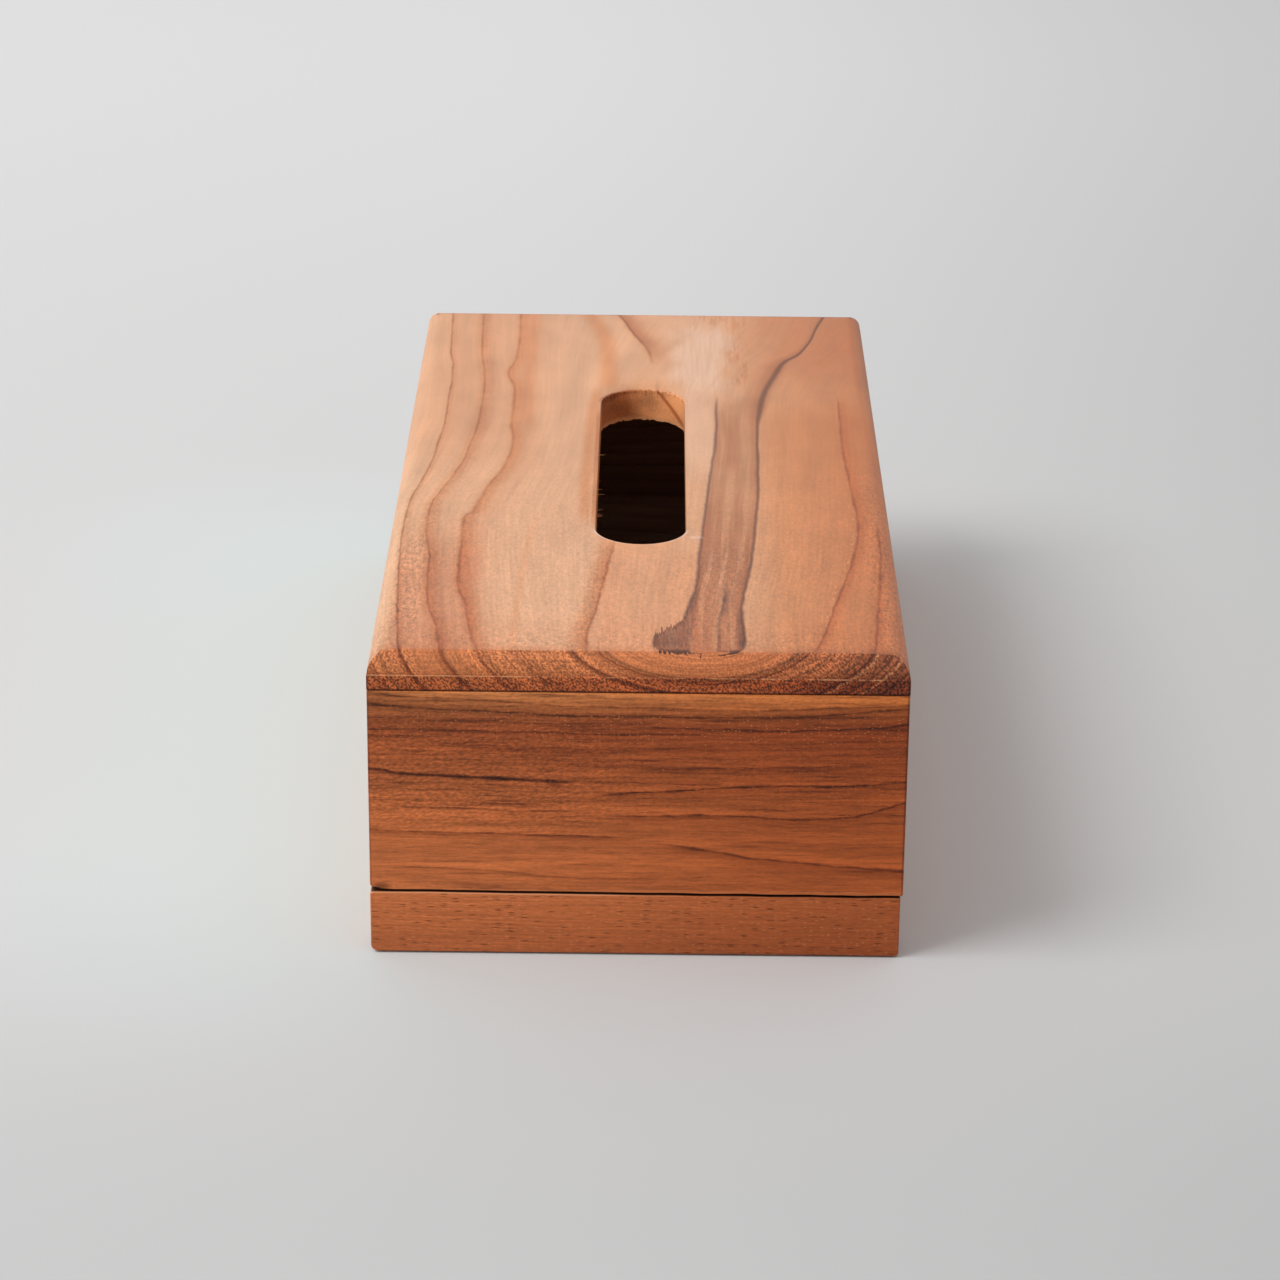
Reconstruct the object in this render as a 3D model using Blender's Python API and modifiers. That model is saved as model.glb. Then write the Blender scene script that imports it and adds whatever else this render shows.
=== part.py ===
"""Wooden tissue box cover: a slotted top board on four walls, and a base that slides out to the front.

Run it with blender --background --python part.py, or from Blender's text editor.
Metres, +Z up. The front faces -Y. The origin is the middle of the footprint, on the surface that
the box stands on.
"""

import math

import bmesh
import bpy
from mathutils import Matrix, Vector

# Outside of the box
LENGTH = 0.272
WIDTH = 0.130
HEIGHT = 0.079

# Boards
TOP_THICKNESS = 0.009
SIDE_THICKNESS = 0.009
END_THICKNESS = 0.009
TOP_ROUND_OVER = 0.005
EDGE_EASE = 0.0006

# Tissue slot
SLOT_LENGTH = 0.122
SLOT_WIDTH = 0.0235
SLOT_SET_BACK = 0.001

# Base that slides out
STRIP_TOP = 0.0165
STRIP_EASE = 0.001
STRIP_SHORT = 0.0006
STRIP_REBATE = 0.004
BASE_THICKNESS = 0.004
GROOVE_DEPTH = 0.004
GROOVE_HEIGHT_ABOVE_FLOOR = 0.004

# Clearances
SEAM = 0.0004
FLOOR_GAP = 0.0004
RUNNING_GAP = 0.0003
GLUE_LINE = 0.0002

# Blind dowels in the corners
DOWEL_DIAMETER = 0.005
DOWEL_LENGTH = 0.022
DOWEL_IN_END_PANEL = 0.006
DOWEL_EDGE_DISTANCE = 0.013
DOWEL_CHAMFER = 0.0005
DOWEL_END_ROOM = 0.0005

# How far a cutter runs past what it cuts
OVERRUN = 0.002

ROUND_OVER_STEPS = 8
EASE_STEPS = 2
SLOT_STEPS = 48
DOWEL_STEPS = 24
SMOOTH_ANGLE = math.radians(30)

# Places worked out from the sizes
HALF_LENGTH = LENGTH / 2
HALF_WIDTH = WIDTH / 2
INNER_HALF_LENGTH = HALF_LENGTH - END_THICKNESS
INNER_HALF_WIDTH = HALF_WIDTH - SIDE_THICKNESS
TOP_UNDERSIDE = HEIGHT - TOP_THICKNESS
WALL_TOP = TOP_UNDERSIDE - GLUE_LINE
SIDE_HALF_LENGTH = INNER_HALF_LENGTH - GLUE_LINE
FRONT_PANEL_BOTTOM = STRIP_TOP + SEAM
BASE_BOTTOM = GROOVE_HEIGHT_ABOVE_FLOOR + RUNNING_GAP
BASE_TOP = BASE_BOTTOM + BASE_THICKNESS
GROOVE_TOP = BASE_TOP + RUNNING_GAP
BASE_HALF_WIDTH = INNER_HALF_WIDTH + GROOVE_DEPTH - RUNNING_GAP
BASE_FRONT = -INNER_HALF_LENGTH - STRIP_REBATE + GLUE_LINE
BASE_BACK = INNER_HALF_LENGTH - RUNNING_GAP
DOWEL_RADIUS = DOWEL_DIAMETER / 2

# Colour, roughness and metallic value of each board, as the photograph shows them
TEAK_FINISHES = {
    "top_board": ((0.62, 0.34, 0.20), 0.55, 0.0),
    "front_board": ((0.40, 0.15, 0.06), 0.58, 0.0),
    "wall_board": ((0.45, 0.19, 0.09), 0.58, 0.0),
    "base_board": ((0.50, 0.26, 0.14), 0.62, 0.0),
    "dowel_wood": ((0.66, 0.50, 0.32), 0.60, 0.0),
}


def clear_scene():
    """Remove every object, so that the model stands alone."""
    for old in list(bpy.data.objects):
        bpy.data.objects.remove(old, do_unlink=True)


def new_collection(name):
    collection = bpy.data.collections.new(name)
    bpy.context.scene.collection.children.link(collection)
    return collection


def make_materials():
    """One Principled material for each finish."""
    made = {}
    for name, (colour, roughness, metallic) in TEAK_FINISHES.items():
        material = bpy.data.materials.new(name)
        material.use_nodes = True
        shader = material.node_tree.nodes["Principled BSDF"]
        shader.inputs["Base Color"].default_value = (*colour, 1.0)
        shader.inputs["Roughness"].default_value = roughness
        shader.inputs["Metallic"].default_value = metallic
        made[name] = material
    return made


def object_from(bm, name, collection, centre, material=None):
    """A new object at centre that takes its mesh from bm."""
    mesh = bpy.data.meshes.new(name)
    bm.to_mesh(mesh)
    bm.free()
    thing = bpy.data.objects.new(name, mesh)
    thing.location = centre
    collection.objects.link(thing)
    if material:
        mesh.materials.append(material)
    return thing


def block(name, low, high, collection, material=None):
    """A box between two corners, with its origin in its middle."""
    low, high = Vector(low), Vector(high)
    bm = bmesh.new()
    bmesh.ops.create_cube(bm, size=1.0, matrix=Matrix.Diagonal(high - low).to_4x4())
    return object_from(bm, name, collection, (low + high) / 2, material)


def rod(name, centre, radius, length, collection, material=None):
    """A cylinder along Y, with its origin in its middle."""
    bm = bmesh.new()
    bmesh.ops.create_cone(
        bm,
        cap_ends=True,
        segments=DOWEL_STEPS,
        radius1=radius,
        radius2=radius,
        depth=length,
        matrix=Matrix.Rotation(math.pi / 2, 4, "X"),
    )
    return object_from(bm, name, collection, Vector(centre), material)


def stadium_prism(name, centre, length, width, depth, collection):
    """An upright block with half-round ends: the hull round two circles on its two faces."""
    bm = bmesh.new()
    radius = width / 2
    end_centre = length / 2 - radius
    for y in (-end_centre, end_centre):
        for z in (-depth / 2, depth / 2):
            bmesh.ops.create_circle(
                bm,
                segments=SLOT_STEPS,
                radius=radius,
                matrix=Matrix.Translation((0, y, z)),
            )
    hull = bmesh.ops.convex_hull(bm, input=bm.verts)
    inside = [item for item in hull["geom_interior"] if isinstance(item, bmesh.types.BMVert)]
    bmesh.ops.delete(bm, geom=inside, context="VERTS")
    bmesh.ops.recalc_face_normals(bm, faces=bm.faces)
    return object_from(bm, name, collection, Vector(centre))


def ease_edges(thing, width, steps, chosen):
    """Round the edges whose middle, seen from the object's own centre, chosen says yes to."""
    mesh = thing.data
    weights = mesh.attributes.new("bevel_weight_edge", "FLOAT", "EDGE")
    for edge in mesh.edges:
        ends = [mesh.vertices[i].co for i in edge.vertices]
        weights.data[edge.index].value = float(chosen((ends[0] + ends[1]) / 2))
    bevel = thing.modifiers.new("Eased edges", "BEVEL")
    bevel.limit_method = "WEIGHT"
    bevel.width = width
    bevel.segments = steps


def cut(thing, cutter):
    """Take the cutter's shape out of the object."""
    cutter.hide_render = True
    cutter.display_type = "WIRE"
    boolean = thing.modifiers.new("Cut by " + cutter.name, "BOOLEAN")
    boolean.operation = "DIFFERENCE"
    boolean.object = cutter


def smooth(thing):
    """Shade round faces smooth and keep the flat ones flat."""
    thing.data.shade_smooth()
    thing.data.set_sharp_from_angle(angle=SMOOTH_ANGLE)


def make_top_panel(parts, cutters, finish):
    """The top board, rounded over along its four upper edges, with the tissue slot through it."""
    panel = block(
        "top_panel",
        (-HALF_WIDTH, -HALF_LENGTH, TOP_UNDERSIDE),
        (HALF_WIDTH, HALF_LENGTH, HEIGHT),
        parts,
        finish["top_board"],
    )
    ease_edges(panel, TOP_ROUND_OVER, ROUND_OVER_STEPS, lambda middle: middle.z > TOP_THICKNESS / 4)
    slot = stadium_prism(
        "slot_cutter",
        (0, SLOT_SET_BACK, HEIGHT - TOP_THICKNESS / 2),
        SLOT_LENGTH,
        SLOT_WIDTH,
        TOP_THICKNESS + 2 * OVERRUN,
        cutters,
    )
    smooth(slot)
    cut(panel, slot)
    smooth(panel)


def make_end_panel(name, end, bottom, parts, finish):
    """A wall across the box's width. end is -1 at the front and 1 at the back."""
    outer, inner = end * HALF_LENGTH, end * INNER_HALF_LENGTH
    panel = block(
        name,
        (-HALF_WIDTH, min(outer, inner), bottom),
        (HALF_WIDTH, max(outer, inner), WALL_TOP),
        parts,
        finish,
    )
    ease_edges(
        panel,
        EDGE_EASE,
        EASE_STEPS,
        lambda middle: end * middle.y > END_THICKNESS / 4 and abs(middle.x) > HALF_WIDTH / 2,
    )
    return panel


def make_side_panel(name, side, parts, cutters, finish):
    """A long wall between the end panels, grooved for the base. side is -1 on the left, 1 on the right."""
    outer, inner = side * HALF_WIDTH, side * INNER_HALF_WIDTH
    panel = block(
        name,
        (min(outer, inner), -SIDE_HALF_LENGTH, 0),
        (max(outer, inner), SIDE_HALF_LENGTH, WALL_TOP),
        parts,
        finish["wall_board"],
    )
    groove_bed = side * (INNER_HALF_WIDTH + GROOVE_DEPTH)
    groove_mouth = side * (INNER_HALF_WIDTH - OVERRUN)
    groove = block(
        name + "_groove_cutter",
        (min(groove_bed, groove_mouth), -SIDE_HALF_LENGTH - OVERRUN, GROOVE_HEIGHT_ABOVE_FLOOR),
        (max(groove_bed, groove_mouth), SIDE_HALF_LENGTH + OVERRUN, GROOVE_TOP),
        cutters,
    )
    cut(panel, groove)
    return panel


def make_sliding_base(parts, cutters, finish):
    """The base board and the strip across its front end, on one empty that carries them."""
    board = block(
        "base_board",
        (-BASE_HALF_WIDTH, BASE_FRONT, BASE_BOTTOM),
        (BASE_HALF_WIDTH, BASE_BACK, BASE_TOP),
        parts,
        finish["base_board"],
    )
    strip = block(
        "base_strip",
        (-HALF_WIDTH, -HALF_LENGTH, FLOOR_GAP),
        (HALF_WIDTH - STRIP_SHORT, -INNER_HALF_LENGTH, STRIP_TOP),
        parts,
        finish["front_board"],
    )
    ease_edges(strip, STRIP_EASE, EASE_STEPS, lambda middle: middle.y < -END_THICKNESS / 4)
    rebate = block(
        "strip_rebate_cutter",
        (-BASE_HALF_WIDTH - GLUE_LINE, BASE_FRONT - GLUE_LINE, BASE_BOTTOM - GLUE_LINE),
        (BASE_HALF_WIDTH + GLUE_LINE, -INNER_HALF_LENGTH + OVERRUN, BASE_TOP + GLUE_LINE),
        cutters,
    )
    cut(strip, rebate)
    slide = bpy.data.objects.new("base_slide", None)
    slide.location = (0, -HALF_LENGTH, BASE_BOTTOM)
    parts.objects.link(slide)
    bpy.context.view_layer.update()
    for thing in (board, strip):
        thing.parent = slide
        thing.matrix_parent_inverse = slide.matrix_world.inverted()


def make_corner_dowels(ends, sides, parts, cutters, finish):
    """Two blind dowels at each corner, and the holes for them in both boards."""
    hole_radius = DOWEL_RADIUS + GLUE_LINE
    hole_length = DOWEL_LENGTH + 2 * DOWEL_END_ROOM
    dowel_x = HALF_WIDTH - SIDE_THICKNESS / 2
    for end_name, end, lower_edge in (("front", -1, FRONT_PANEL_BOTTOM), ("back", 1, GROOVE_TOP)):
        outer_tip = INNER_HALF_LENGTH + DOWEL_IN_END_PANEL
        dowel_y = end * (outer_tip - DOWEL_LENGTH / 2)
        heights = {
            "upper": WALL_TOP - DOWEL_EDGE_DISTANCE,
            "lower": lower_edge + DOWEL_EDGE_DISTANCE,
        }
        for side_name, side in (("left", -1), ("right", 1)):
            for level, height in heights.items():
                name = f"{end_name}_{side_name}_{level}_dowel"
                centre = (side * dowel_x, dowel_y, height)
                dowel = rod(name, centre, DOWEL_RADIUS, DOWEL_LENGTH, parts, finish["dowel_wood"])
                smooth(dowel)
                bevel = dowel.modifiers.new("Chamfered ends", "BEVEL")
                bevel.width = DOWEL_CHAMFER
                bevel.segments = 1
                hole = rod(name + "_hole_cutter", centre, hole_radius, hole_length, cutters)
                smooth(hole)
                cut(ends[end_name], hole)
                cut(sides[side_name], hole)


def main():
    clear_scene()
    parts = new_collection("tissue_box_cover")
    cutters = new_collection("cutters")
    finish = make_materials()
    make_top_panel(parts, cutters, finish)
    ends = {
        "front": make_end_panel("front_panel", -1, FRONT_PANEL_BOTTOM, parts, finish["front_board"]),
        "back": make_end_panel("back_panel", 1, 0, parts, finish["wall_board"]),
    }
    sides = {
        "left": make_side_panel("left_side_panel", -1, parts, cutters, finish),
        "right": make_side_panel("right_side_panel", 1, parts, cutters, finish),
    }
    make_sliding_base(parts, cutters, finish)
    make_corner_dowels(ends, sides, parts, cutters, finish)


main()
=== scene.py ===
import math
import random

import bmesh
import bpy
from mathutils import Matrix, Vector, noise


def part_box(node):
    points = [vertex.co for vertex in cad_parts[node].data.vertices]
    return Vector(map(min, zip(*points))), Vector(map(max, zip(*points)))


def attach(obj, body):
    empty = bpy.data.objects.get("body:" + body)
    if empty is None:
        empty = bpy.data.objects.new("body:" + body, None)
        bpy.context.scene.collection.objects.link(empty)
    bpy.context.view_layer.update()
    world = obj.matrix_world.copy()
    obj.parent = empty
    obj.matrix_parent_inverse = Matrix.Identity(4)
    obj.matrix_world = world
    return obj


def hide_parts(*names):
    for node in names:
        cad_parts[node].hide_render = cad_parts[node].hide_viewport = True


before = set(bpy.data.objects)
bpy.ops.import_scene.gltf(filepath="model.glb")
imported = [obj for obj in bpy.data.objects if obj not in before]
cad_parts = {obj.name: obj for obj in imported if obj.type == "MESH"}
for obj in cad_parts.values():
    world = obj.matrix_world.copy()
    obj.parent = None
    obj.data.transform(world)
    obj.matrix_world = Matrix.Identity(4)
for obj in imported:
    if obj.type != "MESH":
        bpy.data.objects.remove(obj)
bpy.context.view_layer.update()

# Looks for a wooden tissue box: boards, grain, camera and studio.
# Sizes are in millimetres wherever a name doesn't say otherwise. The front faces -Y.

mm = 0.001
print("frame loaded,", len(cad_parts), "boards and dowels")


# Node sheets

class Wire:
    # one output socket; sums on it add Math nodes
    def __init__(self, finish, socket):
        self.finish = finish
        self.socket = socket

    def __add__(self, other):
        return self.finish.maths("ADD", self, other)

    def __radd__(self, other):
        return self.finish.maths("ADD", other, self)

    def __sub__(self, other):
        return self.finish.maths("SUBTRACT", self, other)

    def __rsub__(self, other):
        return self.finish.maths("SUBTRACT", other, self)

    def __mul__(self, other):
        return self.finish.maths("MULTIPLY", self, other)

    def __rmul__(self, other):
        return self.finish.maths("MULTIPLY", other, self)

    def __truediv__(self, other):
        return self.finish.maths("DIVIDE", self, other)

    def __abs__(self):
        return self.finish.maths("ABSOLUTE", self)


class Finish:
    # a material, or the world, and its nodes
    def __init__(self, owner):
        owner.use_nodes = True
        self.owner = owner
        self.tree = owner.node_tree
        self.tree.nodes.clear()

    def node(self, kind, settings=None, links=None, out=0):
        made = self.tree.nodes.new(kind)
        for name, value in (settings or {}).items():
            if name == "points":
                self.bendCurve(made.mapping, value)
            elif name == "stops":
                self.setStops(made.color_ramp, value)
            else:
                setattr(made, name, value)
        for name, value in (links or {}).items():
            socket = made.inputs[name]
            if isinstance(value, Wire):
                self.tree.links.new(value.socket, socket)
            elif socket.type == "RGBA" and len(value) == 3:
                socket.default_value = (*value, 1)
            else:
                socket.default_value = value
        return Wire(self, made.outputs[out]) if made.outputs else None

    def bendCurve(self, mapping, points):
        mapping.extend = "HORIZONTAL"
        dots = mapping.curves[0].points
        dots[0].location = points[0]
        dots[1].location = points[-1]
        for spot in points[1:-1]:
            dots.new(*spot)
        mapping.update()

    def setStops(self, ramp, stops):
        ramp.interpolation = "B_SPLINE"
        while len(ramp.elements) < len(stops):
            ramp.elements.new(1)
        for element, (place, colour) in zip(ramp.elements, stops):
            element.position = place
            element.color = (*colour, 1)

    def maths(self, operation, *values):
        return self.node("ShaderNodeMath", {"operation": operation}, dict(enumerate(values)))

    def larger(self, a, b):
        return self.maths("MAXIMUM", a, b)

    def fade(self, value, low, high):
        # 0 up to low, 1 from high, and a smooth step between; high may be the lower one
        return self.node(
            "ShaderNodeMapRange",
            {"interpolation_type": "SMOOTHSTEP"},
            {"Value": value, "From Min": low, "From Max": high},
        )

    def between(self, value, low, high, soft):
        return self.fade(value, low - soft, low + soft) * self.fade(value, high + soft, high - soft)

    def beside(self, away, reach):
        # 1 at a line, 0 that far to its right, or to its left where the reach is below 0
        side = math.copysign(1, reach)
        return self.fade(away, reach, 0) * self.fade(away, -0.25 * side, 0.05 * side)

    def within(self, value, path, soft, edge=132):
        # 1 along a path, and 0 past an end of it that stops short of the board's edge
        low, high = min(path)[0], max(path)[0]
        shown = 1
        if low > -edge:
            shown = self.fade(value, low, low + soft)
        if high < edge:
            shown = shown * self.fade(value, high, high - soft)
        return shown

    def place(self, x, y, z):
        return self.node("ShaderNodeCombineXYZ", links={"X": x, "Y": y, "Z": z})

    def split(self, vector):
        made = self.node("ShaderNodeSeparateXYZ", links={"Vector": vector})
        return [Wire(self, socket) for socket in made.socket.node.outputs]

    def millimetres(self):
        spot = self.node("ShaderNodeTexCoord", out="Object")
        return [part * 1000 for part in self.split(spot)]

    def facing(self):
        return self.split(self.node("ShaderNodeTexCoord", out="Normal"))

    def cloud(self, x, y, z, detail=2.0, roughness=0.5):
        # noise about 0, mostly within half a unit either way
        made = self.node(
            "ShaderNodeTexNoise",
            links={
                "Vector": self.place(x, y, z),
                "Scale": 1.0,
                "Detail": detail,
                "Roughness": roughness,
            },
            out="Fac",
        )
        return made - 0.5

    def dashes(self, x, y, z, share):
        # short marks, one to a cell of size 1, in that share of the cells
        cells = self.node(
            "ShaderNodeTexVoronoi",
            {"feature": "F1"},
            {"Vector": self.place(x, y, z), "Scale": 1.0},
        )
        chance = self.split(Wire(self, cells.socket.node.outputs["Color"]))[0]
        return self.fade(cells, 0.42, 0.12) * self.fade(chance, 1 - share, 1 - share * 0.7)

    def follow(self, value, points):
        # a smooth line through a few (along, across) points
        points = sorted(points)
        acrosses = [across for along, across in points]
        low, high = points[0][0], points[-1][0]
        bottom, top = min(acrosses) - 1, max(acrosses) + 1
        dots = [((a - low) / (high - low), (b - bottom) / (top - bottom)) for a, b in points]
        share = self.node(
            "ShaderNodeFloatCurve",
            {"points": dots},
            {"Factor": 1.0, "Value": (value - low) / (high - low)},
        )
        return share * (top - bottom) + bottom

    def ramp(self, value, low, high, tones):
        stops = [((place - low) / (high - low), tone) for place, tone in tones]
        return self.node("ShaderNodeValToRGB", {"stops": stops}, {"Fac": (value - low) / (high - low)})

    def mix(self, share, first, second, blend="MIX"):
        return self.node(
            "ShaderNodeMix",
            {"data_type": "RGBA", "blend_type": blend},
            {0: share, 6: first, 7: second},
            out=2,
        )

    def stain(self, colour, share, through):
        # a glaze of that tint over the colour
        return self.mix(share, colour, through, "MULTIPLY")

    def shade(self, colour, strength):
        return self.node(
            "ShaderNodeVectorMath",
            {"operation": "SCALE"},
            {0: colour, "Scale": strength},
        )

    def bump(self, height, strength, depth):
        return self.node(
            "ShaderNodeBump",
            links={"Height": height, "Strength": strength, "Distance": depth * mm},
        )

    def surface(self, **sockets):
        shader = self.node(
            "ShaderNodeBsdfPrincipled",
            links={name.replace("_", " "): value for name, value in sockets.items()},
        )
        self.node("ShaderNodeOutputMaterial", links={"Surface": shader})
        return self.owner


class Coat:
    # a board's colour, laid on layer by layer from the tints and tones that its grain names
    def __init__(self, wood, grain, colour):
        self.wood = wood
        self.grain = grain
        self.colour = colour

    def stain(self, share, name):
        self.colour = self.wood.stain(self.colour, share, self.grain[name])

    def cover(self, share, name):
        self.colour = self.wood.mix(share, self.colour, self.grain[name])

    def shade(self, strength):
        self.colour = self.wood.shade(self.colour, strength)

    def join(self, share, other):
        self.colour = self.wood.mix(share, self.colour, other.colour)

    def finished(self, unevenness, relief):
        return self.wood.surface(
            Base_Color=self.colour,
            Roughness=self.grain["roughness"] + unevenness,
            Specular_IOR_Level=self.grain["specular"],
            Normal=self.wood.bump(relief, 0.3, 0.12),
        )


def tint(red, green, blue):
    # a colour as a picture's 0 to 255 values, in linear light
    def linear(value):
        share = value / 255
        return share / 12.92 if share <= 0.04045 else ((share + 0.055) / 1.055) ** 2.4
    return tuple(linear(value) for value in (red, green, blue))


# Grain on the top board. Paths on the top face hold (y, x) points, back to front.
# Stains beside a line hold how far they reach, to the right or minus for left, and their strength.

topGrain = {
    "heart": (15, 126),  # x and z of the middle of the tree, above the board
    "heartSlack": 8,  # keeps the face's small dips from opening a step under the heart
    "faceHeight": 79,
    "routerHeight": 73.9,  # of the routed step along the end, which gets a painted highlight
    "spread": 1.2,  # of the stains beside the lines
    "lines": {
        "outerLeft": {
            "path": [(136, -57.4), (96, -56.3), (84, -55.1), (45, -54.7), (14, -55.8), (-14, -58.5),
                     (-37, -61.0), (-52, -61.4), (-91, -60.1), (-123, -58.2), (-136, -57.4)],
            "width": 0.55, "dark": 0.75,
            "smears": [(1.6, 0.35), (-1.4, 0.15)], "glows": [(2.2, 0.4)], "blush": (6, 0.35),
        },
        "middleLeft": {
            "path": [(136, -48.3), (100, -47.4), (73, -45.6), (52, -45.2), (12, -47.1), (-10, -50.3),
                     (-24, -53.3), (-35, -55.0), (-48, -55.2), (-71, -53.3), (-92, -52.7), (-119, -49.2),
                     (-136, -47.4)],
            "width": 0.6, "dark": 0.6,
            "smears": [(-2.2, 0.3), (4.0, 0.5)], "glows": [(-3.0, 0.6), (3.6, 0.6)], "blush": (6, 0.4),
        },
        "innerLeft": {
            "path": [(136, -37.1), (97, -36.8), (84, -37.6), (77, -38.8), (70, -37.8), (60, -36.4),
                     (34, -36.5), (18, -35.6), (2, -36.5), (-19, -40.9), (-38, -44.0), (-43, -45.9),
                     (-66, -45.7), (-86, -45.5), (-101, -43.1), (-119, -41.1), (-136, -38.0)],
            "width": 0.8, "dark": 0.5,
            "smears": [(-1.8, 0.3), (3.2, 0.4)], "glows": [(-2.2, 0.5), (5.0, 0.9)], "blush": (12, 0.7),
        },
        "besideSlot": {
            "path": [(-48, -6.0), (-62, -6.9), (-83, -8.7), (-106, -10.6), (-124, -12.6), (-136, -11.6)],
            "width": 0.7, "dark": 0.6,
            "smears": [(-5.0, 0.75), (1.2, 0.3)], "glows": [(-6.5, 0.7)], "blush": (9, 0.5),
        },
        "right": {
            "path": [(60, 54.9), (42, 54.8), (11, 54.6), (-20, 55.6), (-41, 56.2), (-62, 54.8),
                     (-84, 51.4), (-102, 48.0), (-119, 45.2), (-136, 40.3)],
            "width": 0.65, "dark": 0.62,
            "smears": [(2.2, 0.4), (-2.6, 0.25)], "glows": [(4.0, 0.6)], "blush": (9, 0.45),
        },
        "farRight": {
            "path": [(-40, 61.2), (-70, 60.8), (-97, 59.0), (-117, 57.8), (-136, 56.1)],
            "width": 0.7, "dark": 0.6,
            "smears": [(-2.2, 0.35), (1.4, 0.3)], "glows": [(3.0, 0.5)], "blush": (5, 0.4),
        },
        "slant": {
            "path": [(136, -9.4), (131, -7.3), (112, -2.7), (96, 1.5), (88, 2.4), (82, 3.4)],
            "width": 0.9, "dark": 0.7,
            "smears": [(3.4, 0.45), (-1.6, 0.3)], "glows": [(-3, 0.5)], "blush": (10, 0.9),
        },
    },
    "bands": {  # soft orange stripes with no line in them
        "backBand": {
            "path": [(136, -17.5), (130, -15.7), (98, -10.6), (56, -10.2)],
            "width": 4.6, "strength": 1.0, "deep": 0.6,
        },
        "slotBand": {
            "path": [(70, -9.5), (50, -13.4), (0, -14.6), (-50, -14.6)],
            "width": 2.8, "strength": 0.9, "deep": 0.7,
        },
        "leftBand": {
            "path": [(136, -33), (60, -32.5), (20, -31.5)],
            "width": 3.6, "strength": 0.6, "deep": 0.4,
        },
        "sideBand": {
            "path": [(136, 61.8), (75, 61.6), (30, 62.4), (-25, 63.6), (-136, 63.8)],
            "width": 1.6, "strength": 0.7, "deep": 0,
        },
    },
    "slotArcs": (-48.25, 50.25),  # y of the middles of the slot's round ends
    "lightLine": [(-38, -27.6), (-51, -28.2), (-68, -29.2), (-98, -30.1), (-126, -30.3), (-136, -29.4)],
    "streakLeft": [(66, 21.0), (51, 20.8), (34, 20.5), (9, 19.4), (-24, 17.4), (-45, 16.3), (-70, 14.8),
                   (-86, 14.1), (-104, 11.9), (-110, 11.0), (-114, 9.6), (-117, 7.6), (-120, 4.7),
                   (-123, 3.6), (-128, 3.6), (-131, 4.8), (-134, 7.5)],
    "streakRight": [(136, 55), (125, 52.1), (106, 48.2), (96, 45.0), (87, 40.2), (76, 37.5), (65, 35.1),
                    (57, 33.9), (46, 32.8), (26, 31.7), (-10, 31.1), (-49, 29.5), (-79, 27.5), (-102, 25.2),
                    (-116, 25.2), (-126, 25.4), (-131, 24.2), (-134, 21.6)],
    "footInner": [(-66, 15.4), (-80, 15.1), (-96, 14.3), (-108, 13.8), (-124, 12.7), (-134, 12.0)],
    "streakInner": [(-82, 21.9), (-91, 21.3), (-101, 20.6), (-112, 19.4), (-126, 19.2), (-134, 19.0)],
    "bendLeft": [(136, 1.0), (98, 1.5), (75, 3), (49, 4), (23, 2.5), (-1, 0), (-24, -4), (-38, -5.5),
                 (-53, -5.3), (-81, -4), (-114, -1.5), (-136, 0.5)],
    "bendRight": [(136, 22), (116, 18), (99, 13.5), (89, 8.6), (72, 3.9), (58, 1.3), (36, 0),
                  (10, -0.3), (-22, -1.5), (-53, -2.7), (-76, -4), (-96, -6.3), (-108, -7), (-136, -7.5)],
    "tones": [
        (-70, tint(240, 190, 150)), (-50, tint(224, 164, 124)), (-12, tint(236, 181, 142)),
        (34, tint(214, 149, 105)), (68, tint(196, 118, 70)),
    ],
    # end grain: one broad change from orange on the left to brown on the right
    "endTones": [
        (-68, tint(202, 120, 72)), (20, tint(204, 120, 72)), (46, tint(166, 90, 52)),
        (68, tint(108, 58, 36)),
    ],
    "endLines": {  # ring, half width, strength
        "outerLeft": (-57.6, 0.9, 0.9), "short": (-65.2, 0.45, 0.6), "middleLeft": (-47.5, 1.3, 0.8),
        "innerLeft": (-38.8, 0.7, 0.7), "light": (-28.2, 0.4, 0.55), "besideSlot": (-16.2, 1.5, 0.7),
        "arcLeft": (-9.6, 0.5, 0.8), "arcRight": (40.6, 0.8, 0.85), "bold": (55.9, 0.75, 1.0),
        "edge": (60.6, 0.5, 0.5),
    },
    "lightRings": {"bold": (57.3, 0.55, 0.8), "edge": (63.6, 0.6, 0.75), "middleLeft": (-46.3, 0.4, 0.4)},
    "lineAndShadeTint": (0.52, 0.35, 0.25),
    "ringTint": (0.34, 0.22, 0.16),
    "smearTint": (0.74, 0.56, 0.44),
    "blushTint": (0.92, 0.79, 0.71),
    "orangeTint": (1.0, 0.86, 0.70),
    "roughTint": (0.86, 0.70, 0.63),
    "centreTint": (0.95, 0.85, 0.78),
    "streakTint": (0.68, 0.53, 0.45),
    "edgeTint": (0.34, 0.31, 0.37),
    "footTint": (0.47, 0.48, 0.58),
    "rimAndShadeTint": (0.22, 0.20, 0.24),
    "paleTone": tint(240, 200, 172),
    "fleckAndHighlightTone": tint(240, 172, 120),
    "poreTint": (0.45, 0.36, 0.32),
    "scuffTone": tint(236, 214, 200),
    "slotTone": tint(222, 150, 98),
    "roughness": 0.5,
    "specular": 0.3,
}


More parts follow.
